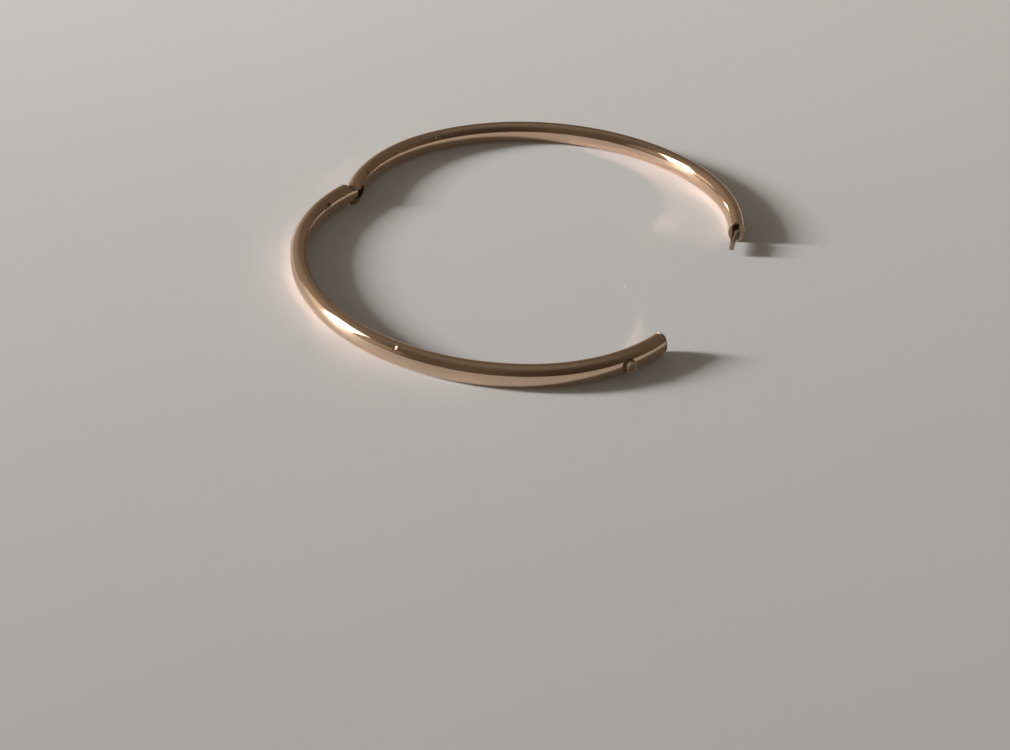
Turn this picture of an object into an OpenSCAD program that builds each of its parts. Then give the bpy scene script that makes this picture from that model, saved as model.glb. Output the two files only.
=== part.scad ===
// Hinged tube bangle, lying open on its side.
// Two hollow half ovals are pinned together at one end. A folded spring tongue on the
// far half goes into the mouth of the near half, and a push button there lets it go.
// Both halves are drawn closed first, as one oval about the origin with the hinge at -X
// and the clasp at +X, and are then swung apart about the hinge pin.

/* [Oval] */
// Inside length from hinge to clasp, closed
inner_len = 58; // [50:1:66]
// Inside width across, closed
inner_wid = 53; // [46:1:56]
// Angle between the halves as the bangle lies
open_angle = 32.8; // [10:0.1:34]
// Angle at which the hinge stops
stop_angle = 35; // [34:0.5:45]

/* [Tube] */
// Width of the tube's oval section
tube_w = 2.6; // [2.4:0.1:3.2]
// Height of the tube's oval section
tube_h = 3.5; // [3.4:0.1:4.4]
// Thickness of the tube's wall
wall = 0.3; // [0.25:0.05:0.4]
// Gap between the two halves, closed
seam = 0.1; // [0.05:0.05:0.2]

/* [Hinge] */
// Distance of the pin outwards from the middle of the tube
pin_out = 0.5; // [0.4:0.05:0.6]
// Radius of the pin
pin_r = 0.3; // [0.25:0.05:0.35]
// Distance of the pin past the middle of the hinge, into the far half
pin_in = 0.3; // [0.2:0.05:0.5]
// Radius of the fork's round end, about the pin
knuckle_r = 1.95; // [1.9:0.05:2.1]
// Thickness of the middle leaf
leaf_t = 1.3; // [1:0.1:1.5]
// Radius of the leaf's round end, about the pin
leaf_r = 0.85; // [0.75:0.05:0.95]
// Length of solid metal at each hinge end
block_len = 3.5; // [3.2:0.1:5]

/* [Clasp] */
// Thickness of the far half's end plate
plate_t = 1; // [0.8:0.1:1.5]
// Thickness of the mouth collar
collar_t = 0.4; // [0.3:0.05:0.7]
// Thickness of the tongue's strip
strip_t = 0.28; // [0.2:0.02:0.3]
// Height of the tongue's strip
strip_h = 1.5; // [1.2:0.1:1.5]
// Length of the tongue past the end plate
tongue_len = 4.5; // [4:0.1:4.8]

/* [Button] */
// Diameter of the button
button_d = 1.76; // [1.4:0.02:1.8]
// Height of the button's face over the tube
button_out = 0.6; // [0.45:0.05:1]
// Distance of the button from the mouth, along the tube
button_back = 7.15; // [6:0.05:9]

/* [Hidden] */
$fn = 96;
gold = [0.86, 0.62, 0.49];
pale_gold = [0.9, 0.68, 0.55];
// Length and angle by which cutters reach past what they cut
over = 4;
over_angle = 1;

// Four-centre oval through the middle of the tube
half_len = (inner_len + tube_w) / 2;
half_wid = (inner_wid + tube_w) / 2;
centre = (half_len - half_wid) / (2 - sqrt(2));
end_r = half_len - centre;
side_r = half_wid + centre;
// Rows of start angle, end angle, centre and radius
ARCS = [
    [-45, 45, [centre, 0], end_r],
    [45, 135, [0, -centre], side_r],
    [135, 225, [-centre, 0], end_r],
    [225, 315, [0, centre], side_r],
    [315, 405, [centre, 0], end_r]
];

// Step between the sides of the tube's section
section_step = 10;

// Hinge
pin = [-half_len - pin_out, pin_in];
pin_fit = 0.02;
leaf_bore = 0.05;
leaf_side = 0.08;
leaf_stop = 0.04;
stop_gap = 0.03;
knuckle_angle = end_angle(knuckle_r);
block_angle = end_angle(block_len);

// Clasp, across the tube from its middle: outwards is positive
tongue_x = -0.56;
tongue_lean = 3.8;
fold_r = 0.23;
leaf_bend = [0.54, 2.1];
leaf_tip = [0.98, 3.5];
tongue_root = 0.9;
fit_gap = 0.03;
slot_x = [tongue_x - 0.18, tongue_x + 0.25];
slot_z = strip_h / 2 + fit_gap;
notch_x = 0.25;
notch_z = 0.4;
lip_x = 0.57;

// Button
button_fit = 0.1;
button_edge = 0.14;
button_rim = 0.2;
button_dish = 0.12;
lever_x = [0.6, 0.84];
lever_h = 0.9;
lever_from = 2;
lever_past = 1.3;

// Box of the open bangle, for an origin at its middle
function turned(v, a) = [v.x * cos(a) - v.y * sin(a), v.x * sin(a) + v.y * cos(a)];
function swung(p, side) = pin + turned(p - pin, side * open_angle / 2);
reach_r = tube_w / 2;
low_x = min(swung([-centre, 0], 1).x, swung([-centre, 0], -1).x) - end_r - reach_r;
high_x = max(swung([half_len + reach_r, 0], 1).x, swung([half_len + reach_r, 0], -1).x);
high_y = swung([0, -centre], 1).y + side_r + reach_r;
low_y = swung([0, centre], -1).y - side_r - reach_r;
middle = [(low_x + high_x) / 2, (low_y + high_y) / 2];

// Angle of the oval's end arc that a length along the tube takes
function end_angle(length) = length / end_r * 180 / PI;

// Swings a half open about the pin: side is 1 for the far half and -1 for the near half
module swing(side)
    translate([-middle.x, -middle.y, tube_h / 2])
    translate(pin)
    rotate([0, 0, side * open_angle / 2])
    translate(-pin)
    children();

// Carries a shape round the oval between two angles
module round_oval(from, to)
    for (arc = ARCS) {
        first = max(from, arc[0]);
        last = min(to, arc[1]);
        if (last > first)
            translate(arc[2])
            rotate_extrude(angle = last - first, start = first)
            translate([arc[3], 0])
            children();
    }

// The tube's oval section, thinner all round by inset
module section(inset = 0)
    polygon([
        for (a = [0:section_step:359])
        [(tube_w / 2 - inset) * cos(a), (tube_h / 2 - inset) * sin(a)]
    ]);

// Part of the section that lies between two distances from its middle, outwards positive
module section_band(inset, x)
    intersection() {
        section(inset);
        translate([x[0], -tube_h])
        square([x[1] - x[0], 2 * tube_h]);
    }

// Stands a shape at the pin
module at_pin(z)
    translate([pin.x, pin.y, z])
    children();

// Cylinder about the pin through the whole height
module pin_round(r)
    at_pin(-tube_h)
    cylinder(r = r, h = 2 * tube_h);

// Hollow near half with the hinge leaf at one end
module near_tube() {
    leaf_angle = end_angle(pin.y + leaf_r);
    mouth_angle = end_angle(seam / 2 + collar_t + fit_gap);
    color(gold) swing(-1)
    difference() {
        round_oval(180 - leaf_angle, 360 - mouth_angle) section();
        round_oval(180 + block_angle, 360 + over_angle) section(wall);
        for (up = [0, 1])
            mirror([0, 0, up])
            at_pin(leaf_t / 2)
            cylinder(r = knuckle_r + seam, h = tube_h);
        leaf_end();
        pin_round(pin_r + leaf_bore);
        button_hole();
    }
}

// What is cut from the leaf to round its end about the pin, all but the outer corner
// whose flat meets the bottom of the fork's slot at the hinge's stop
module leaf_end()
    difference() {
        translate([pin.x - over, -seam / 2, -tube_h])
        cube([3 * over, over, 2 * tube_h]);
        pin_round(leaf_r);
        at_pin(-tube_h)
        rotate([0, 0, stop_angle])
        translate([-over, -over, 0])
        cube([over, over + leaf_r + leaf_stop, 2 * tube_h]);
    }

// Stands a shape on the outside of the near half at the button, with +Z outwards
module at_button()
    translate([centre, 0, 0])
    rotate([0, 0, -end_angle(button_back + seam / 2)])
    translate([end_r, 0, 0])
    rotate([0, 90, 0])
    children();

module button_hole()
    at_button()
    cylinder(d = button_d + 2 * button_fit, h = tube_w);

// Hollow far half with the slotted plate at one end and the hinge fork at the other
module far_tube() {
    slot_h = leaf_t + 2 * leaf_side;
    plate_angle = end_angle(seam / 2 + plate_t);
    color(gold) swing(1) {
        round_oval(end_angle(seam / 2), plate_angle) slotted_section();
        difference() {
            round_oval(plate_angle, 180 + knuckle_angle) section();
            round_oval(0, 180 - block_angle) section(wall);
            difference() {
                at_pin(-tube_h)
                translate([-over, -over, 0])
                cube([2 * over, over, 2 * tube_h]);
                pin_round(knuckle_r);
            }
            at_pin(-slot_h / 2)
            translate([-over, -over, 0])
            cube([2 * over, over + leaf_r + leaf_stop + stop_gap, slot_h]);
            pin_round(pin_r + pin_fit);
        }
    }
}

// Section of the end plate: a slot that holds the tongue and a wider notch over it
module slotted_section()
    difference() {
        section();
        translate([slot_x[0], -slot_z])
        square([slot_x[1] - slot_x[0], 2 * slot_z]);
        intersection() {
            section_band(wall, [slot_x[0], notch_x]);
            translate([-tube_w, notch_z])
            square([2 * tube_w, tube_h]);
        }
    }

// Rivet through the fork and the leaf, with its ends dressed just inside the tube's outside
module hinge_pin()
    color(pale_gold) swing(1)
    intersection() {
        pin_round(pin_r);
        round_oval(180 - knuckle_angle, 180 + knuckle_angle) section(fit_gap);
    }

// Ring that closes the near half's end down to the tongue's mouth, with the catch lip outside
module mouth_collar() {
    last = 360 - end_angle(seam / 2);
    color(gold) swing(-1)
    round_oval(last - end_angle(collar_t), last)
    difference() {
        section();
        section_band(wall, [-tube_w, lip_x]);
    }
}

// Outline of a bent strip of thickness t along a path
function bend_normal(path, i) =
    let (
        a = path[max(i - 1, 0)],
        b = path[i],
        c = path[min(i + 1, len(path) - 1)],
        u = a == b ? (c - b) / norm(c - b) : (b - a) / norm(b - a),
        v = b == c ? u : (c - b) / norm(c - b),
        m = (u + v) / norm(u + v)
    )
    [-m.y, m.x] / (m * u);

function strip_outline(path, t) =
    let (last = len(path) - 1)
    concat(
        [for (i = [0:last]) path[i] + bend_normal(path, i) * t / 2],
        [for (i = [last:-1:0]) path[i] - bend_normal(path, i) * t / 2]
    );

// Tongue folded from one strip: straight leaf inwards, fold at the tip, flared leaf outwards
function tongue_path() =
    let (fold = [fold_r, -tongue_len + fold_r + strip_t / 2])
    concat(
        [[0, tongue_root]],
        [for (a = [180:30:360]) fold + fold_r * [cos(a), sin(a)]],
        [[leaf_bend.x, -tongue_len + leaf_bend.y], [leaf_tip.x, -tongue_len + leaf_tip.y]]
    );

module spring_tongue()
    color(pale_gold) swing(1)
    translate([half_len + tongue_x, seam / 2, -strip_h / 2])
    rotate([0, 0, -tongue_lean])
    linear_extrude(strip_h)
    polygon(strip_outline(tongue_path(), strip_t));

// Round button with a dished face, and the flat lever behind it inside the tube
module push_button() {
    r = button_d / 2;
    top = reach_r + button_out;
    color(pale_gold) swing(-1) {
        at_button()
        rotate_extrude()
        polygon([
            [0, lever_x[0]], [r, lever_x[0]], [r, top - button_edge],
            [r - button_edge, top], [r - button_edge - button_rim, top], [0, top - button_dish]
        ]);
        translate([centre, 0, 0])
        rotate_extrude(
            angle = end_angle(button_back + lever_past - lever_from),
            start = -end_angle(button_back + lever_past)
        )
        translate([end_r + lever_x[0], -lever_h / 2])
        square([lever_x[1] - lever_x[0], lever_h]);
    }
}

near_tube();
far_tube();
hinge_pin();
mouth_collar();
spring_tongue();
push_button();
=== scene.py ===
"""Looks of the open hinged bangle: mirror-polished rose gold tube on a pale table, in low side light.

Lengths are worked out in millimetres, in the closed bangle's own plane, with the hinge at -X and
the clasp at +X. Each half is then swung open about the pin and scaled to metres.
"""

from math import cos, pi, radians, sin, sqrt

import bmesh
import bpy
import numpy as np
from mathutils import Matrix, Vector


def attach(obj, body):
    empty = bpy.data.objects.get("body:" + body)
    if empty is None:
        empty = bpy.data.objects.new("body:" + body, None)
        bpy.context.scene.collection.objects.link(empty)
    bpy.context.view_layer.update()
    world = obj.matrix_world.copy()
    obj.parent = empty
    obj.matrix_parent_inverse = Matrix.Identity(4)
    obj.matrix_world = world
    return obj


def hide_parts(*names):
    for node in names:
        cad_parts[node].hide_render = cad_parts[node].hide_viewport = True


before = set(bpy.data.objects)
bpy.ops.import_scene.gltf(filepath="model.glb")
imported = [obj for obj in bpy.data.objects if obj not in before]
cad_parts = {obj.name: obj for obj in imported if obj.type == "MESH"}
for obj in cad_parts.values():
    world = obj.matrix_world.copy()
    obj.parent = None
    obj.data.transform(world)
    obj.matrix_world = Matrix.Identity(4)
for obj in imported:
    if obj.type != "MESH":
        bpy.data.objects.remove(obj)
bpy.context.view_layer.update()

MM = 0.001
NEAR, FAR = -1, 1

# Sizes of the tube and the oval, as in the part's source
INNER_LEN, INNER_WID = 58.0, 53.0
TUBE_W, TUBE_H, WALL = 2.6, 3.5, 0.3
OPEN_ANGLE, STOP_ANGLE = 32.8, 35.0
SEAM = 0.1
HALF_LEN = (INNER_LEN + TUBE_W) / 2
HALF_WID = (INNER_WID + TUBE_W) / 2
CENTRE = (HALF_LEN - HALF_WID) / (2 - sqrt(2))
END_R = HALF_LEN - CENTRE
SIDE_R = HALF_WID + CENTRE
OVAL_CENTRES = np.array([[CENTRE, 0], [0, -CENTRE], [-CENTRE, 0], [0, CENTRE]])

# Hinge
PIN = np.array([-HALF_LEN - 0.5, 0.3])
PIN_R, PIN_HOLE_R = 0.3, 0.33
KNUCKLE_R = 1.95
LEAF_T, LEAF_R, LEAF_STOP, STOP_GAP = 1.3, 0.85, 0.04, 0.03
SLOT_T = LEAF_T + 0.16
BLOCK_LEN = 3.5

# Rivet: how far its ends lie below the tube's skin, its bevel, and the radii of its inner rings
RIVET_SUNK, RIVET_BEVEL = 0.01, 0.03
RIVET_CORE, RIVET_INNER = 0.02, 0.1

# Clasp, with distances across the tube positive outwards
COLLAR_T, COLLAR_GAP = 0.4, 0.03
LIP_X = 0.57
STRIP_T, STRIP_H, STRIP_CORNER = 0.28, 1.5, 0.06
TONGUE_LEN, TONGUE_X, TONGUE_LEAN, TONGUE_ROOT = 4.5, -0.56, 3.8, 0.9
FOLD_R = 0.23
LEAF_BEND, LEAF_TIP = (0.54, 2.1), (0.98, 3.5)
SLOT_X, SLOT_Z = (TONGUE_X - 0.18, TONGUE_X + 0.25), STRIP_H / 2 + 0.03
NOTCH_X, NOTCH_Z = 0.25, 0.4
POCKET_DEPTH = 1.15

# Where the bend of the tongue's outer leaf starts and stops, as parts of the stretches that meet
BEND_FROM, BEND_TO = 0.75, 0.4

# Button, with its edge's radius, its rim's width, and the depth and the shoulder of its dish
BUTTON_D, BUTTON_OUT, BUTTON_BACK, BUTTON_FIT = 1.76, 0.6, 7.15, 0.1
BUTTON_EDGE, BUTTON_RIM, BUTTON_DISH = 0.04, 0.2, 0.06
SHOULDER_W, SHOULDER_H = 0.04, 0.015
LEVER_X, LEVER_H, LEVER_FROM, LEVER_PAST = (0.6, 0.84), 0.9, 2.0, 1.3

# Radii of the button's innermost rings, and how far below its edge the dull wall stops
BUTTON_CORE, DISH_CORE, WALL_BELOW = 0.02, 0.01, 0.2

# Rounded rims, each with its length along the tube, its depth and its number of rings
MOUTH_RIM = (0.09, 0.07, 6)
COLLAR_FRONT_RIM = (0.3, 0.22, 9)
COLLAR_BACK_RIM = (0.07, 0.07, 4)
COLLAR_SOFT = 0.04

# Faces further in than this part of the section's ellipse, squared, were never polished and lie
# in the recesses where shade falls: they are browned as dull metal and as painted shade
POLISHED_LIT_NEAR, POLISHED_LIT_FAR, POLISHED_LIT_COLLAR = 0.985, 0.88, 0.7

# Counts of points and rings
AROUND = 96
OUTSIDE_RINGS, BORE_RINGS = 260, 150
CHEEK_POINTS, FORK_POINTS, LEAF_POINTS = 128, 97, 48
RIVET_POINTS, RIVET_RINGS = 48, 5
POCKET_POINTS, MOUTH_POINTS = 24, 2000
STRAIGHT_RINGS, FOLD_RINGS, BEND_RINGS, TIP_RINGS, CORNER_POINTS = 12, 25, 9, 5, 5
EDGE_RINGS, DISH_RINGS, LEVER_RINGS = 7, 10, 24

# How far a cutter reaches past what it cuts, the angle from which an edge looks sharp, and how
# near two points are one, in metres
PAST = 4.0
SHARP_ANGLE = 35.0
SAME_PLACE = 1e-8

# Small dark marks beside the hinge and small dents further round, each with its half, its
# angle round the oval from the hinge, its angle round the section from the outer side, and its
# radius. Cores and edge are parts of the radius, and a core is where the spot is whole.
MARKS = (
    (NEAR, 15.8, 145, 0.36), (NEAR, 17.0, 146, 0.34), (NEAR, 18.7, 148, 0.27), (FAR, 9.5, 138, 0.32))
DENTS = (
    (FAR, 34.3, 146, 0.36), (FAR, 48.7, 146, 0.3), (FAR, 50.1, 144, 0.42), (NEAR, 101.5, 54, 0.36))
MARK_CORE, DENT_CORE, SPOT_EDGE = 0.5, 0.0, 1.25
SPOT_WANDER, DENT_DEPTH = 0.2, 0.1

# Scales of the metal's patterns, in features to the metre, and how much of them is used: the
# patches start and are full at these levels, and the ripples and scuffs are parts of the wave
PATCH_SCALE, CLOUD_SCALE, GRAIN_SCALE, SPOT_SCALE = 160.0, 420.0, 2600.0, 3000.0
SLOW_SCALE, RIPPLE_SCALE = 190.0, 620.0
PATCH_START, PATCH_FULL, PATCH_COVER = 0.35, 0.75, 0.5
CLOUD_SHARE, RIPPLE_SHARE, SCUFF_SHARE = 0.5, 0.3, 0.03

# Unpolished faces, browned as dull metal and as painted shade, and the dark marks: colour, how
# much of it covers the gold, and added roughness
DULL_AND_SHADED_COLOUR, DULL_AND_SHADED_COVER, DULL_ROUGH = (0.36, 0.265, 0.19, 1.0), 0.85, 0.28
DARK_MARK_COLOUR, DARK_MARK_COVER, DARK_MARK_ROUGH = (0.07, 0.045, 0.024, 1.0), 0.85, 0.4

# Table: half its side in metres, its gloss, its two tones, how fast it pales to the right and
# away, which is painted light and shade for the uneven light across the table, and its clouds
# and specks, each with a scale and a strength
TABLE_HALF = 1.3
TABLE_ROUGH, TABLE_GLOSS = 0.6, 0.15
TABLE_DARK_AND_SHADED, TABLE_PALE_AND_LIT = (0.420, 0.416, 0.416, 1.0), (0.720, 0.712, 0.714, 1.0)
PAINTED_LIGHT_RIGHT, PAINTED_LIGHT_AWAY = 0.64, 3.29
TABLE_CLOUD, TABLE_SPECK = (14.0, 0.08), (400.0, 0.02)
TABLE_GLOW = (0.024, 0.022, 0.019, 1.0)

# Room by height, from the floor below to straight overhead
ROOM_TONES = [
    (0.0, (0.08, 0.061, 0.043, 1)),
    (0.12, (0.112, 0.088, 0.063, 1)),
    (0.45, (0.112, 0.089, 0.064, 1)),
    (0.8, (0.122, 0.105, 0.084, 1)),
    (0.96, (0.186, 0.171, 0.141, 1))]

# Patches of the room, each with the direction of its middle and its reach in degrees, and its
# strength: the dim one behind the camera, and pale ones at the window's side
DIM_PATCH = (330.0, 15.0, 50.0, 0.5)
PALE_PATCHES = (
    (172.0, 6.0, 66.0, 0.21), (110.0, 0.0, 50.0, 0.06), (187.0, 6.0, 17.0, 0.6), (228.0, 14.0, 20.0, 0.2))
PALE_COLOUR = (1.0, 0.87, 0.71, 1.0)

# Camera at the photograph's place, in millimetres and degrees, and its range in metres
CAMERA_AT = (74.481, -178.397, 113.870)
CAMERA_TURN, CAMERA_TILT, CAMERA_ROLL = 22.8463, 35.6402, 3.0917
FOCAL_PIXELS, PHOTO_WIDTH, SENSOR = 1455.54, 1010, 36.0
SEEN_FROM, SEEN_TO = 0.005, 20.0


def turned(points, degrees):
    """Plan points turned about the origin."""
    a = radians(degrees)
    return points @ np.array([[cos(a), sin(a)], [-sin(a), cos(a)]])


def swung(points, side):
    """Plan points of a half, swung about the pin by half the opening angle."""
    return turned(points - PIN, side * OPEN_ANGLE / 2) + PIN


def box_middle():
    """Middle of the open bangle's box in plan: the oval's own arcs reach furthest at both sides."""
    edge = HALF_LEN + TUBE_W / 2
    x_low = min(swung(np.array([-CENTRE, 0.0]), s)[0] for s in (NEAR, FAR)) - END_R - TUBE_W / 2
    x_high = max(swung(np.array([edge, 0.0]), s)[0] for s in (NEAR, FAR))
    y_high = swung(np.array([0.0, -CENTRE]), FAR)[1] + SIDE_R + TUBE_W / 2
    y_low = swung(np.array([0.0, CENTRE]), NEAR)[1] - SIDE_R - TUBE_W / 2
    return np.array([(x_low + x_high) / 2, (y_low + y_high) / 2])


MIDDLE = box_middle()


def placed(points, side):
    """Closed-plane points in millimetres, z from the tube's middle, to the row frame in metres."""
    plan = swung(points[..., :2], side) - MIDDLE
    return np.concatenate([plan, points[..., 2:] + TUBE_H / 2], axis=-1) * MM


def arc_degrees(length):
    """Angle of the oval's end arc that a length along the tube takes."""
    return np.degrees(length / END_R)


def on_oval(angle):
    """Centre line point and outward direction of the four-centre oval at an angle in degrees:
    each quarter turn is an arc about its own centre, so the direction is that of the angle."""
    a = np.radians(angle)
    out = np.stack([np.cos(a), np.sin(a)], -1)
    quarter = np.floor((np.asarray(angle) + 45) / 90).astype(int) % 4
    centres = OVAL_CENTRES[quarter]
    radius = np.where(quarter % 2 == 0, END_R, SIDE_R)[..., None]
    return centres + radius * out, out


def tube_rings(angles, outlines):
    """Rings of a tube: each outline (x outwards, z up) stands on the oval at its own angle."""
    point, out = on_oval(angles)
    plan = point[:, None] + outlines[..., :1] * out[:, None]
    return np.concatenate([plan, outlines[..., 1:]], axis=-1)


def circle(count):
    """Points of a circle of radius 1, evenly spread from +X and not repeated at the end."""
    t = np.linspace(0, 2 * pi, count, endpoint=False)
    return np.stack([np.cos(t), np.sin(t)], -1)


def oval_outline(inset, count):
    """The tube's section as an ellipse, thinner all round by each inset: one outline for each."""
    inset = np.atleast_1d(inset)[:, None]
    radii = np.stack([TUBE_W / 2 - inset, TUBE_H / 2 - inset], -1)
    return radii * circle(count)


def evened(outline, count):
    """A closed outline with its points spread evenly along its length, from the same start."""
    loop = np.concatenate([outline, outline[:1]])
    s = np.concatenate([[0], np.cumsum(np.linalg.norm(np.diff(loop, axis=0), axis=1))])
    at = np.linspace(0, s[-1], count, endpoint=False)
    return np.stack([np.interp(at, s, loop[:, k]) for k in (0, 1)], -1)


def loose_mesh(name, verts, faces):
    """A mesh of points and faces, just as they are given."""
    mesh = bpy.data.meshes.new(name)
    mesh.from_pydata(verts.reshape(-1, 3).tolist(), [], faces)
    mesh.update()
    return mesh


def closed_mesh(name, verts, faces):
    """A closed mesh, with doubled points merged and its faces turned outwards."""
    mesh = loose_mesh(name, verts, faces)
    work = bmesh.new()
    work.from_mesh(mesh)
    bmesh.ops.remove_doubles(work, verts=work.verts, dist=SAME_PLACE)
    bmesh.ops.recalc_face_normals(work, faces=work.faces)
    if work.calc_volume(signed=True) < 0:
        bmesh.ops.reverse_faces(work, faces=work.faces)
    work.to_mesh(mesh)
    work.free()
    mesh.update()
    return mesh


def ring_faces(rows, cols, wrap):
    """Quads between neighbouring rings, with the last ring joined to the first if wrap."""
    r = np.arange(rows if wrap else rows - 1)[:, None]
    c = np.arange(cols)[None]
    n, d = (r + 1) % rows, (c + 1) % cols
    quads = np.stack([r * cols + c, r * cols + d, n * cols + d, n * cols + c], -1)
    return quads.reshape(-1, 4).tolist()


def lofted(name, rings, wrap=False):
    """A closed surface through rings, each with the same count of points. Without wrap, the first
    and the last ring are closed by a fan about their middle."""
    rows, cols = rings.shape[:2]
    verts = rings.reshape(-1, 3)
    faces = ring_faces(rows, cols, wrap)
    if not wrap:
        verts = np.concatenate([verts, rings[:1].mean(1), rings[-1:].mean(1)])
        c = np.arange(cols)
        d = (c + 1) % cols
        last_ring = (rows - 1) * cols
        first_middle, last_middle = rows * cols, rows * cols + 1
        faces += np.stack([d, c, np.full(cols, first_middle)], -1).tolist()
        faces += np.stack([c + last_ring, d + last_ring, np.full(cols, last_middle)], -1).tolist()
    return closed_mesh(name, verts, faces)


def prism(first, last):
    """A closed solid between two flat outlines of the same count of points, with flat ends."""
    count = len(first)
    k = np.arange(count)
    n = (k + 1) % count
    faces = np.stack([k, n, n + count, k + count], -1).tolist()
    faces += [k[::-1].tolist(), (k + count).tolist()]
    return closed_mesh("cutter", np.stack([first, last]), faces)


def upright(outline, low, high, side):
    """A prism over a plan outline between two heights, on one half of the bangle."""
    ends = [np.column_stack([outline, np.full(len(outline), z)]) for z in (low, high)]
    return prism(*(placed(end, side) for end in ends))


def linked(name, data):
    """A new object of the scene, at the origin."""
    thing = bpy.data.objects.new(name, data)
    bpy.context.scene.collection.objects.link(thing)
    return thing


def shown(name, mesh, body, nodes, material):
    """Puts a finished mesh into the scene as a piece that stands for CAD nodes."""
    piece = linked(name, mesh)
    mesh.shade_smooth()
    mesh.set_sharp_from_angle(angle=radians(SHARP_ANGLE))
    mesh.materials.clear()
    mesh.materials.append(material)
    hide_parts(*nodes)
    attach(piece, body)


def cut(mesh, cutters):
    """The mesh less each cutter mesh, in turn."""
    base = linked("cut_base", mesh)
    helpers = [base]
    for cutter in cutters:
        helper = linked("cutter", cutter)
        helpers.append(helper)
        step = base.modifiers.new("cut", "BOOLEAN")
        step.operation = "DIFFERENCE"
        step.solver = "EXACT"
        step.object = helper
    graph = bpy.context.evaluated_depsgraph_get()
    result = bpy.data.meshes.new_from_object(base.evaluated_get(graph))
    for helper in helpers:
        bpy.data.objects.remove(helper)
    return result


def store_dull_and_shaded(mesh, worn):
    """Stores on each face whether it is dull and browned with painted shade, as 1 or 0, for the metal to
    read.
    """
    mesh.attributes.new("worn", "FLOAT", "FACE").data.foreach_set("value", worn.astype(float))


def mark_dull_and_shaded(mesh, side, below, first=0):
    """Marks the faces that lie inside the tube's outer skin, where no polish reaches and shade falls,
    as dull and browned with painted shade: the face's middle is taken back to the closed plane and
    measured across the tube there, as a part of the section's ellipse, squared. The first faces can
    be marked whatever they measure."""
    count = len(mesh.polygons)
    middle = np.empty(count * 3)
    mesh.polygons.foreach_get("center", middle)
    middle = middle.reshape(-1, 3) / MM
    plan = turned(middle[:, :2] + MIDDLE - PIN, -side * OPEN_ANGLE / 2) + PIN
    away = plan[:, None] - OVAL_CENTRES
    angle = np.degrees(np.arctan2(away[..., 1], away[..., 0]))
    off = np.abs((angle - 90.0 * np.arange(4) + 180) % 360 - 180)
    own = off.argmin(1)
    rows = np.arange(count)
    across = np.linalg.norm(away[rows, own], axis=1) - np.where(own % 2 == 0, END_R, SIDE_R)
    height = middle[:, 2] - TUBE_H / 2
    skin = (across / (TUBE_W / 2)) ** 2 + (height / (TUBE_H / 2)) ** 2
    store_dull_and_shaded(mesh, (skin < below) | (rows < first))
    return mesh


def arc(radius, start, stop, count):
    """Points of a circle about the pin between two angles in degrees."""
    t = np.radians(np.linspace(start, stop, count))
    return PIN + radius * np.stack([np.cos(t), np.sin(t)], -1)


def disc(radius, count=AROUND):
    """Outline of a full circle about the pin."""
    return arc(radius, 0, 360, count + 1)[:-1]


def rounded_rim(angle, rim, towards):
    """Angles and insets of a quarter oval at a tube's end: the inset grows as the path runs out."""
    length, depth, rings = rim
    t = np.linspace(0, pi / 2, rings)
    along = arc_degrees(length * (1 - np.sin(t)))
    return angle - towards * along, depth * (1 - np.cos(t))


def tube_outside(hinge_angle, mouth_angle, towards):
    """Rings of a tube's outside from the hinge end to the mouth and over its rounded rim."""
    rim_angles, rim_insets = rounded_rim(mouth_angle, MOUTH_RIM, towards)
    body = np.linspace(hinge_angle, rim_angles[0], OUTSIDE_RINGS)
    angles = np.concatenate([body, rim_angles[1:]])
    insets = np.concatenate([np.zeros(OUTSIDE_RINGS), rim_insets[1:]])
    return angles, oval_outline(insets, AROUND)


def leaf_end_outline():
    """What is cut from the leaf: all beyond the hinge's middle but a disc about the pin and an
    outer corner with a flat, which meets the slot's bottom when the hinge is at its stop."""
    flat_y = LEAF_R + LEAF_STOP
    flat = turned(np.array([[-PAST, flat_y], [0, flat_y]]), STOP_ANGLE) + PIN
    low = -SEAM / 2
    foot = np.degrees(np.arcsin((low - PIN[1]) / LEAF_R))
    corners = np.array([[PIN[0] + PAST, low], [PIN[0] + PAST, PAST], [flat[0, 0], PAST]])
    return np.concatenate([corners, flat, arc(LEAF_R, 90 + STOP_ANGLE, foot, LEAF_POINTS)])


def at_button(points):
    """Points with z outwards along the button's axis, stood on the outside of the near half."""
    angle = -arc_degrees(BUTTON_BACK + SEAM / 2)
    foot, out = on_oval(np.array([angle]))
    side = np.array([-out[0][1], out[0][0]])
    plan = foot[0] + points[..., 2:] * out[0] + points[..., 1:2] * side
    return np.concatenate([plan, points[..., :1]], axis=-1)


def hole_rings():
    """The two end rings of the button's hole, in the tube's middle and well outside it."""
    ring = circle(AROUND) * (BUTTON_D / 2 + BUTTON_FIT)
    return np.stack([np.column_stack([ring, np.full(AROUND, z)]) for z in (0.0, TUBE_W)])


def near_tube_mesh():
    """Near half: leaf at the hinge end, hollow from the mouth, round hole for the button."""
    rim = 360 - arc_degrees(SEAM / 2 + COLLAR_T + COLLAR_GAP)
    angles, outlines = tube_outside(180 - arc_degrees(PIN[1] + LEAF_R), rim, 1)
    bore = np.linspace(rim, 180 + arc_degrees(BLOCK_LEN), BORE_RINGS)
    angles = np.concatenate([angles, bore])
    outlines = np.concatenate([outlines, oval_outline(np.full(BORE_RINGS, WALL), AROUND)])
    mesh = lofted("near_tube", placed(tube_rings(angles, outlines), NEAR))
    cheek = disc(KNUCKLE_R + SEAM, CHEEK_POINTS)
    cutters = [
        upright(cheek, LEAF_T / 2, PAST, NEAR),
        upright(cheek, -PAST, -LEAF_T / 2, NEAR),
        upright(leaf_end_outline(), -PAST, PAST, NEAR),
        upright(disc(PIN_HOLE_R), -PAST, PAST, NEAR),
        prism(*placed(at_button(hole_rings()), NEAR))]
    return mark_dull_and_shaded(cut(mesh, cutters), NEAR, POLISHED_LIT_NEAR)


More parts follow.
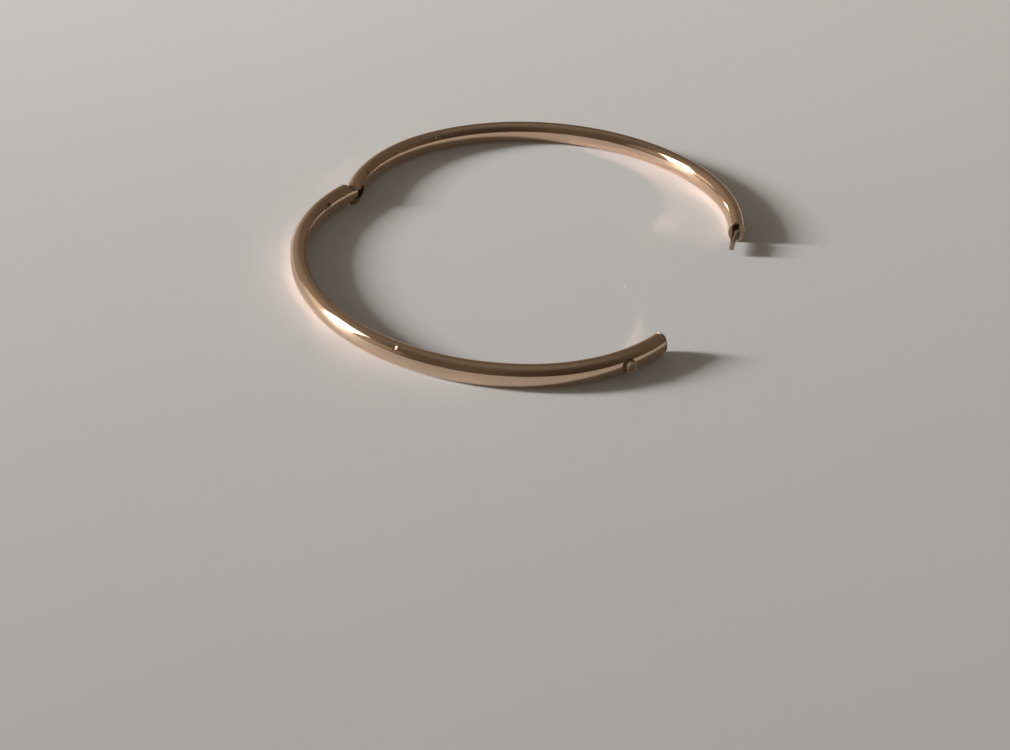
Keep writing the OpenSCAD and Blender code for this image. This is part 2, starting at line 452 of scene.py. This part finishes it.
def pocket_outline():
    """Opening of the end plate in (outwards, up): the tongue's slot, and over it a wider notch
    that follows the hollow's section at the top."""
    x = np.linspace(NOTCH_X, SLOT_X[0], POCKET_POINTS)
    top = (TUBE_H / 2 - WALL) * np.sqrt(1 - (x / (TUBE_W / 2 - WALL)) ** 2)
    corners = [[SLOT_X[0], -SLOT_Z], [SLOT_X[1], -SLOT_Z], [SLOT_X[1], NOTCH_Z], [NOTCH_X, NOTCH_Z]]
    return np.concatenate([corners, np.stack([x, top], -1)])


def far_tube_mesh():
    """Far half: round-ended slotted fork at the hinge end, plate with its pocket at the clasp end."""
    angles, outlines = tube_outside(180 + arc_degrees(KNUCKLE_R), arc_degrees(SEAM / 2), -1)
    mesh = lofted("far_tube", placed(tube_rings(angles, outlines), FAR))
    back = PIN + np.array([[-PAST, 0], [-PAST, -PAST], [PAST, -PAST], [PAST, 0]])
    fork_end = np.concatenate([back, arc(KNUCKLE_R, 0, -180, FORK_POINTS)])
    bottom = LEAF_R + LEAF_STOP + STOP_GAP
    slot = PIN + np.array([[-PAST, -PAST], [PAST, -PAST], [PAST, bottom], [-PAST, bottom]])
    pocket = pocket_outline()
    ends = [np.column_stack([HALF_LEN + pocket[:, 0], np.full(len(pocket), y), pocket[:, 1]])
            for y in (-PAST, SEAM / 2 + POCKET_DEPTH)]
    cutters = [
        upright(fork_end, -PAST, PAST, FAR),
        upright(slot, -SLOT_T / 2, SLOT_T / 2, FAR),
        upright(disc(PIN_HOLE_R), -PAST, PAST, FAR),
        prism(*(placed(end, FAR) for end in ends))]
    return mark_dull_and_shaded(cut(mesh, cutters), FAR, POLISHED_LIT_FAR)


def mouth_outline(count):
    """Mouth of the collar: the hollow's section, cut straight where the catch lip stands."""
    fine = oval_outline(WALL, MOUTH_POINTS)[0]
    return evened(np.stack([np.minimum(fine[:, 0], LIP_X), fine[:, 1]], -1), count)


def collar_mesh():
    """Ring at the near half's mouth: outside with a rounded front rim, face, and the mouth's wall."""
    front = 360 - arc_degrees(SEAM / 2)
    back = 360 - arc_degrees(SEAM / 2 + COLLAR_T)
    front_angles, front_insets = rounded_rim(front, COLLAR_FRONT_RIM, 1)
    back_angles, back_insets = rounded_rim(back, COLLAR_BACK_RIM, -1)
    mouth = mouth_outline(AROUND)
    grown = mouth + COLLAR_SOFT * mouth / np.linalg.norm(mouth, axis=1, keepdims=True)
    inside_angles = [front, front - arc_degrees(COLLAR_SOFT), back]
    angles = np.concatenate([back_angles[::-1], front_angles, inside_angles])
    outside = oval_outline(np.concatenate([back_insets[::-1], front_insets]), AROUND)
    outlines = np.concatenate([outside, grown[None], mouth[None], mouth[None]])
    mesh = lofted("mouth_collar", placed(tube_rings(angles, outlines), NEAR), wrap=True)
    # The back rim is one side of the seam with the tube, which holds grime and shade: it is browned as
    # grime and as painted shade
    return mark_dull_and_shaded(mesh, NEAR, POLISHED_LIT_COLLAR, (len(back_angles) - 1) * AROUND)


def hinge_pin_mesh():
    """Rivet whose two ends follow the tube's own surface a hair below it, with a fine bevel."""
    face = np.linspace(RIVET_INNER, PIN_R - RIVET_BEVEL, RIVET_RINGS)
    radii = np.concatenate([[RIVET_CORE], face, [PIN_R]])
    plan = PIN + radii[:, None, None] * circle(RIVET_POINTS)
    across = np.clip((plan[..., 0] + HALF_LEN) / (TUBE_W / 2), -1, 1)
    bevel = RIVET_BEVEL * (radii[:, None] >= PIN_R)
    height = TUBE_H / 2 * np.sqrt(1 - across ** 2) - RIVET_SUNK - bevel
    top = np.concatenate([plan, height[..., None]], -1)
    low = np.concatenate([plan, -height[..., None]], -1)[::-1]
    return lofted("hinge_pin", placed(np.concatenate([top, low]), FAR))


def strip_section():
    """The strip's section as a rectangle with a quarter circle at each corner, taken backwards at
    every other one so that the outline runs round."""
    t = np.radians(np.linspace(0, 90, CORNER_POINTS))
    quarter = np.stack([np.cos(t), np.sin(t)], -1) * STRIP_CORNER
    middle = np.array([STRIP_T / 2 - STRIP_CORNER, STRIP_H / 2 - STRIP_CORNER])
    corners = []
    for signs, order in (([1, 1], 1), ([-1, 1], -1), ([-1, -1], 1), ([1, -1], -1)):
        corners.append((quarter * signs + middle * signs)[::order])
    return np.concatenate(corners)


def tongue_mesh():
    """Strip folded to a V: a rounded strip section carried along a straight leaf, a round fold at
    the tip and a leaf that flares outwards."""
    middle = np.array([FOLD_R, -TONGUE_LEN + FOLD_R + STRIP_T / 2])
    t = np.radians(np.linspace(180, 360, FOLD_RINGS))
    fold = middle + FOLD_R * np.stack([np.cos(t), np.sin(t)], -1)
    straight = np.linspace([0, TONGUE_ROOT], fold[0], STRAIGHT_RINGS)[:-1]
    # The outer leaf bends over a short curve at its knot
    knot, tip = np.array([LEAF_BEND, LEAF_TIP]) - [0, TONGUE_LEN]
    ease = np.linspace(0, 1, BEND_RINGS)[:, None]
    before = fold[-1] + (knot - fold[-1]) * BEND_FROM
    after = knot + (tip - knot) * BEND_TO
    bend = (1 - ease) ** 2 * before + 2 * ease * (1 - ease) * knot + ease ** 2 * after
    path = np.concatenate([straight, fold, bend, np.linspace(after, tip, TIP_RINGS)[1:]])
    step = np.gradient(path, axis=0)
    tangent = step / np.linalg.norm(step, axis=1, keepdims=True)
    normal = np.stack([-tangent[:, 1], tangent[:, 0]], -1)
    section = strip_section()
    plan = path[:, None] + section[None, :, :1] * normal[:, None]
    plan = turned(plan, -TONGUE_LEAN) + np.array([HALF_LEN + TONGUE_X, SEAM / 2])
    height = np.broadcast_to(section[None, :, 1:], plan.shape[:2] + (1,))
    return lofted("spring_tongue", placed(np.concatenate([plan, height], -1), FAR))


def button_mesh():
    """Round button turned from a profile of radius and height, and the flat lever behind it."""
    r, top = BUTTON_D / 2, TUBE_W / 2 + BUTTON_OUT
    foot, lip = LEVER_X[0], r - BUTTON_EDGE - BUTTON_RIM
    t = np.radians(np.linspace(0, 90, EDGE_RINGS))
    corner = np.array([r - BUTTON_EDGE, top - BUTTON_EDGE])
    edge = corner + BUTTON_EDGE * np.stack([np.cos(t), np.sin(t)], -1)
    u = np.linspace(0, 1, DISH_RINGS)[1:]
    dish = np.stack([lip * (1 - u) + DISH_CORE, top - BUTTON_DISH * np.sin(u * pi / 2)], -1)
    wall = [[BUTTON_CORE, foot], [r / 2, foot], [r, foot], [r, top - BUTTON_EDGE - WALL_BELOW]]
    shoulder = [[lip + SHOULDER_W, top], [lip, top - SHOULDER_H]]
    profile = np.concatenate([wall, edge, shoulder, dish])
    plan = profile[:, None, :1] * circle(AROUND)
    height = np.broadcast_to(profile[:, None, 1:], plan.shape[:2] + (1,))
    cap = lofted("push_button", placed(at_button(np.concatenate([plan, height], -1)), NEAR))
    # The dish and the wall below the rim are the dull faces, browned as dull metal and as painted shade
    strip = np.arange(len(cap.polygons)) // AROUND
    store_dull_and_shaded(cap, (strip < len(wall)) | (strip >= len(profile) - 1 - len(dish)))
    start, stop = -arc_degrees(BUTTON_BACK + LEVER_PAST), -arc_degrees(LEVER_FROM)
    (inner, outer), half = LEVER_X, LEVER_H / 2
    bar = np.array([[inner, -half], [outer, -half], [outer, half], [inner, half]])
    bars = np.broadcast_to(bar, (LEVER_RINGS, 4, 2))
    lever = lofted("lever", placed(tube_rings(np.linspace(start, stop, LEVER_RINGS), bars), NEAR))
    work = bmesh.new()
    work.from_mesh(cap)
    work.from_mesh(lever)
    work.to_mesh(cap)
    work.free()
    return cap


class Level:
    """A shader socket with a number in it: arithmetic on it adds Math nodes to its material."""

    def __init__(self, tree, socket):
        self.tree, self.socket = tree, socket

    def math(self, operation, first, second):
        return add(self.tree, "ShaderNodeMath", {"operation": operation}, {0: first, 1: second})

    def __add__(self, other):
        return self.math("ADD", self, other)

    def __radd__(self, other):
        return self.math("ADD", other, self)

    def __sub__(self, other):
        return self.math("SUBTRACT", self, other)

    def __rsub__(self, other):
        return self.math("SUBTRACT", other, self)

    def __mul__(self, other):
        return self.math("MULTIPLY", self, other)

    def __rmul__(self, other):
        return self.math("MULTIPLY", other, self)


def add(tree, kind, settings=None, inputs=None, output=0):
    """Adds one node: its settings first, then the values or links of its sockets."""
    node = tree.nodes.new(kind)
    for key, value in (settings or {}).items():
        if key == "stops":
            ramp = node.color_ramp
            while len(ramp.elements) < len(value):
                ramp.elements.new(1.0)
            for element, (place, colour) in zip(ramp.elements, value):
                element.position, element.color = place, colour
        else:
            setattr(node, key, value)
    for key, value in (inputs or {}).items():
        if isinstance(value, Level):
            tree.links.new(value.socket, node.inputs[key])
        else:
            node.inputs[key].default_value = value
    return Level(tree, node.outputs[output])


def new_material(name, constants):
    """A material with a Principled shader and its output, and its constants set on the sockets."""
    material = bpy.data.materials.new(name)
    material.use_nodes = True
    tree = material.node_tree
    tree.nodes.clear()
    out = tree.nodes.new("ShaderNodeOutputMaterial")
    shader = tree.nodes.new("ShaderNodeBsdfPrincipled")
    tree.links.new(shader.outputs[0], out.inputs["Surface"])
    for key, value in constants.items():
        shader.inputs[key].default_value = value
    return material, tree, shader


def noise(tree, place, scale, detail=2.0, roughness=0.5):
    """Cloudy pattern about 0.5, with features of the scale to the metre."""
    return add(tree, "ShaderNodeTexNoise", {"noise_dimensions": "3D"}, {
        "Vector": place, "Scale": scale, "Detail": detail, "Roughness": roughness})


def mixed(tree, amount, first, second):
    """The first colour, and the second where the amount is 1."""
    return add(tree, "ShaderNodeMix", {"data_type": "RGBA"}, {
        "Factor": amount, 6: first, 7: second}, output=2)


def between(tree, operation, first, second):
    """The distance or the dot product of two vectors, as a number."""
    return add(tree, "ShaderNodeVectorMath", {"operation": operation}, {0: first, 1: second}, output=1)


def smooth_step(tree, value, start, stop):
    """0 where the value is at start, 1 at stop, and a smooth step between them."""
    return add(tree, "ShaderNodeMapRange", {"interpolation_type": "SMOOTHSTEP"}, {
        "Value": value, "From Min": start, "From Max": stop})


def bumped(tree, height, distance, **under):
    """A bump of a height pattern, over the normal that it is given or the plain surface."""
    return add(tree, "ShaderNodeBump", inputs={
        "Strength": 1.0, "Distance": distance, "Height": height, **under})


def on_skin(side, along, around):
    """Point of the tube's skin in metres, as the Object coordinates give it."""
    a = radians(around)
    outline = np.array([[[TUBE_W / 2 * cos(a), TUBE_H / 2 * sin(a)]]])
    return placed(tube_rings(np.array([180.0 - side * along]), outline), side)[0, 0]


def spots(tree, place, places, core):
    """Level of small spots on the tube: each is 1 within its core, a part of its radius, and fades
    out a little past the radius, with an edge that noise makes uneven."""
    wander = (noise(tree, place, SPOT_SCALE, 3.0) - 0.5) * (SPOT_WANDER * MM)
    total = 0.0
    for side, along, around, radius in places:
        away = between(tree, "DISTANCE", place, on_skin(side, along, around))
        total = smooth_step(tree, away + wander, radius * SPOT_EDGE * MM, radius * core * MM) + total
    return add(tree, "ShaderNodeClamp", inputs={0: total})


def gold(name, bright, deep, rough, wave, grain, marked=False):
    """Polished rose gold: slow patches of deeper colour, faint polishing grain, soft waviness.
    Marked gold also has the dents and the dark marks of the two tubes."""
    material, tree, shader = new_material(name, {"Base Color": (*bright, 1.0), "Metallic": 1.0})
    place = add(tree, "ShaderNodeTexCoord", output="Object")
    patches = noise(tree, place, PATCH_SCALE, 3.0)
    stops = [(PATCH_START, (0, 0, 0, 1)), (PATCH_FULL, (1, 1, 1, 1))]
    mottle = add(tree, "ShaderNodeValToRGB", {"stops": stops}, {"Fac": patches})
    colour = mixed(tree, mottle * PATCH_COVER, (*bright, 1.0), (*deep, 1.0))
    fine = noise(tree, place, GRAIN_SCALE, 4.0, 0.65)
    cloud = noise(tree, place, CLOUD_SCALE)
    shine = rough + (cloud - 0.5) * (rough * CLOUD_SHARE) + (fine - 0.5) * grain
    lumps = bumped(tree, noise(tree, place, SLOW_SCALE, 1.0), wave)
    normal = bumped(tree, noise(tree, place, RIPPLE_SCALE, 1.0), wave * RIPPLE_SHARE, Normal=lumps)
    if marked:
        flat = 1.0 - spots(tree, place, DENTS, DENT_CORE)
        normal = bumped(tree, flat, DENT_DEPTH * MM, Normal=normal)
    scuffs = bumped(tree, fine, wave * SCUFF_SHARE, Normal=normal)
    # Faces inside the ends were never polished and lie in shade: browner, as dull metal and as painted
    # shade, and rougher
    worn = add(tree, "ShaderNodeAttribute", {"attribute_name": "worn"}, output=2)
    colour = mixed(tree, worn * DULL_AND_SHADED_COVER, colour, DULL_AND_SHADED_COLOUR)
    shine = shine + worn * DULL_ROUGH
    if marked:
        dark_marks = spots(tree, place, MARKS, MARK_CORE)
        shine = shine + dark_marks * DARK_MARK_ROUGH
        colour = mixed(tree, dark_marks * DARK_MARK_COVER, colour, DARK_MARK_COLOUR)
    tree.links.new(colour.socket, shader.inputs["Base Color"])
    tree.links.new(shine.socket, shader.inputs["Roughness"])
    tree.links.new(scuffs.socket, shader.inputs["Normal"])
    return material


def table_top():
    """Smooth table that pales to the right and away from the camera, painted light and shade for the
    uneven light across it, with faint clouds in its tone. Its slight glow stands for the light that
    the rest of a room would bring into the shadows."""
    material, tree, shader = new_material("table", {
        "Roughness": TABLE_ROUGH, "Specular IOR Level": TABLE_GLOSS,
        "Emission Color": TABLE_GLOW, "Emission Strength": 1.0})
    place = add(tree, "ShaderNodeTexCoord", output="Object")
    a = radians(CAMERA_TURN)
    slope_x = PAINTED_LIGHT_RIGHT * cos(a) - PAINTED_LIGHT_AWAY * sin(a)
    slope_y = PAINTED_LIGHT_RIGHT * sin(a) + PAINTED_LIGHT_AWAY * cos(a)
    along = between(tree, "DOT_PRODUCT", place, (slope_x, slope_y, 0.0))
    cloud = noise(tree, place, TABLE_CLOUD[0], 4.0)
    speck = noise(tree, place, TABLE_SPECK[0], 3.0)
    # Painted light and shade: the tone pales to the right and away
    tone_and_painted_light = 0.5 + along + (cloud - 0.5) * TABLE_CLOUD[1] + (speck - 0.5) * TABLE_SPECK[1]
    colour = mixed(tree, tone_and_painted_light, TABLE_DARK_AND_SHADED, TABLE_PALE_AND_LIT)
    tree.links.new(colour.socket, shader.inputs["Base Color"])
    return material


def make_table():
    """A square of table about the bangle, with its top at the row's floor."""
    h = TABLE_HALF
    corners = np.array([[-h, -h, 0], [h, -h, 0], [h, h, 0], [-h, h, 0]])
    table = linked("table", loose_mesh("table", corners, [[0, 1, 2, 3]]))
    table.data.materials.append(table_top())


def camera_axes():
    """Right, up and ahead of the camera: turned and tilted, then rolled about its line of sight."""
    turn, tilt, roll = (radians(x) for x in (CAMERA_TURN, CAMERA_TILT, CAMERA_ROLL))
    ahead = Vector((-sin(turn) * cos(tilt), cos(turn) * cos(tilt), -sin(tilt)))
    right = Vector((cos(turn), sin(turn), 0.0))
    up = right.cross(ahead)
    return cos(roll) * right + sin(roll) * up, -sin(roll) * right + cos(roll) * up, ahead


def aim(thing, at, right, up, ahead):
    """Places a camera or a light, which both look along their own -Z."""
    turn = Matrix((right, up, -ahead)).transposed().to_4x4()
    thing.matrix_world = Matrix.Translation(at) @ turn


def make_camera():
    """Camera where the photograph was taken from, with a lens of the photograph's own angle."""
    camera = linked("camera", bpy.data.cameras.new("camera"))
    camera.data.sensor_fit = "HORIZONTAL"
    camera.data.sensor_width = SENSOR
    camera.data.lens = FOCAL_PIXELS * SENSOR / PHOTO_WIDTH
    camera.data.clip_start, camera.data.clip_end = SEEN_FROM, SEEN_TO
    aim(camera, Vector(CAMERA_AT) * MM, *camera_axes())
    bpy.context.scene.camera = camera


def direction_of(turn, tilt):
    """Unit direction, turned round from +X and tilted up from the floor, in degrees."""
    a, b = radians(turn), radians(tilt)
    return Vector((cos(a) * cos(b), sin(a) * cos(b), sin(b)))


def lamp(name, turn, tilt, distance, width, height, power, colour):
    """A rectangular soft light that looks at the bangle's middle from a direction in degrees."""
    away = direction_of(turn, tilt)
    data = bpy.data.lights.new(name, "AREA")
    data.shape, data.size, data.size_y = "RECTANGLE", width, height
    data.energy, data.color = power, colour
    right = Vector((0, 0, 1)).cross(away).normalized()
    aim(linked(name, data), away * distance, right, away.cross(right), -away)


def patch(tree, direction, turn, tilt, reach, strength):
    """Smooth patch of the room: its strength in the middle, nothing at reach degrees from it."""
    near = between(tree, "DOT_PRODUCT", direction, direction_of(turn, tilt))
    return smooth_step(tree, near, cos(radians(reach)), 1.0) * strength


def make_room():
    """Room that the polish mirrors: brown walls, a paler ceiling and a paler side at the window,
    with the camera's side dimmed."""
    world = bpy.data.worlds.new("room")
    bpy.context.scene.world = world
    world.use_nodes = True
    room = world.node_tree
    room.nodes.clear()
    direction = add(room, "ShaderNodeTexCoord", output="Generated")
    height = add(room, "ShaderNodeSeparateXYZ", inputs={0: direction}, output=2)
    shade = add(room, "ShaderNodeValToRGB", {"stops": ROOM_TONES}, {"Fac": height})
    dim = 1.0 - patch(room, direction, *DIM_PATCH)
    walls = add(room, "ShaderNodeBackground", inputs={"Color": shade, "Strength": dim})
    pale = 0.0
    for place in PALE_PATCHES:
        pale = pale + patch(room, direction, *place)
    window_side = add(room, "ShaderNodeBackground", inputs={"Color": PALE_COLOUR, "Strength": pale})
    both = add(room, "ShaderNodeAddShader", inputs={0: walls, 1: window_side})
    sky = room.nodes.new("ShaderNodeOutputWorld")
    room.links.new(both.socket, sky.inputs["Surface"])


# Finishes, each with its two tones, its roughness, the height of its waviness in metres and the
# strength of its grain
GOLD = gold(
    "rose_gold", (0.745, 0.547, 0.405), (0.71, 0.51, 0.365), rough=0.08, wave=0.00003, grain=0.02,
    marked=True)
PIN_GOLD = gold(
    "pin_gold", (0.88, 0.67, 0.52), (0.83, 0.6, 0.45), rough=0.12, wave=0.00002, grain=0.05)
# The tongue's gold is far darker than the metal is: painted shade
SHADED_SPRING_GOLD = gold(
    "spring_gold", (0.38, 0.28, 0.215), (0.31, 0.225, 0.17), rough=0.14, wave=0.00003, grain=0.05)
BUTTON_GOLD = gold(
    "button_gold", (0.74, 0.57, 0.46), (0.66, 0.49, 0.39), rough=0.4, wave=0.00002, grain=0.04)

# Pieces
shown("tube_near", near_tube_mesh(), "near_half", ["near_tube"], GOLD)
shown("tube_far", far_tube_mesh(), "far_half", ["far_tube"], GOLD)
shown("collar", collar_mesh(), "near_half", ["mouth_collar"], GOLD)
shown("rivet", hinge_pin_mesh(), "far_half", ["hinge_pin"], PIN_GOLD)
shown("tongue", tongue_mesh(), "far_half", ["spring_tongue"], SHADED_SPRING_GOLD)
shown("button", button_mesh(), "button", ["push_button"], BUTTON_GOLD)

# Table, camera and room, and low light from the photograph's left: the bright pane that casts
# the shadows, and the tall pale window round it
make_table()
make_camera()
lamp("pane", turn=205.0, tilt=19.2, distance=1.6, width=0.18, height=0.34, power=41.5,
     colour=(1.0, 0.995, 0.98))
lamp("window", turn=206.0, tilt=16.0, distance=1.7, width=0.64, height=1.12, power=7.4,
     colour=(1.0, 0.96, 0.90))
make_room()

# The glows that the tube throws on the table are kept whole
bpy.context.scene.cycles.sample_clamp_indirect = 0.0
bpy.context.scene.cycles.blur_glossy = 0.0
bpy.context.scene.view_settings.view_transform = "Standard"
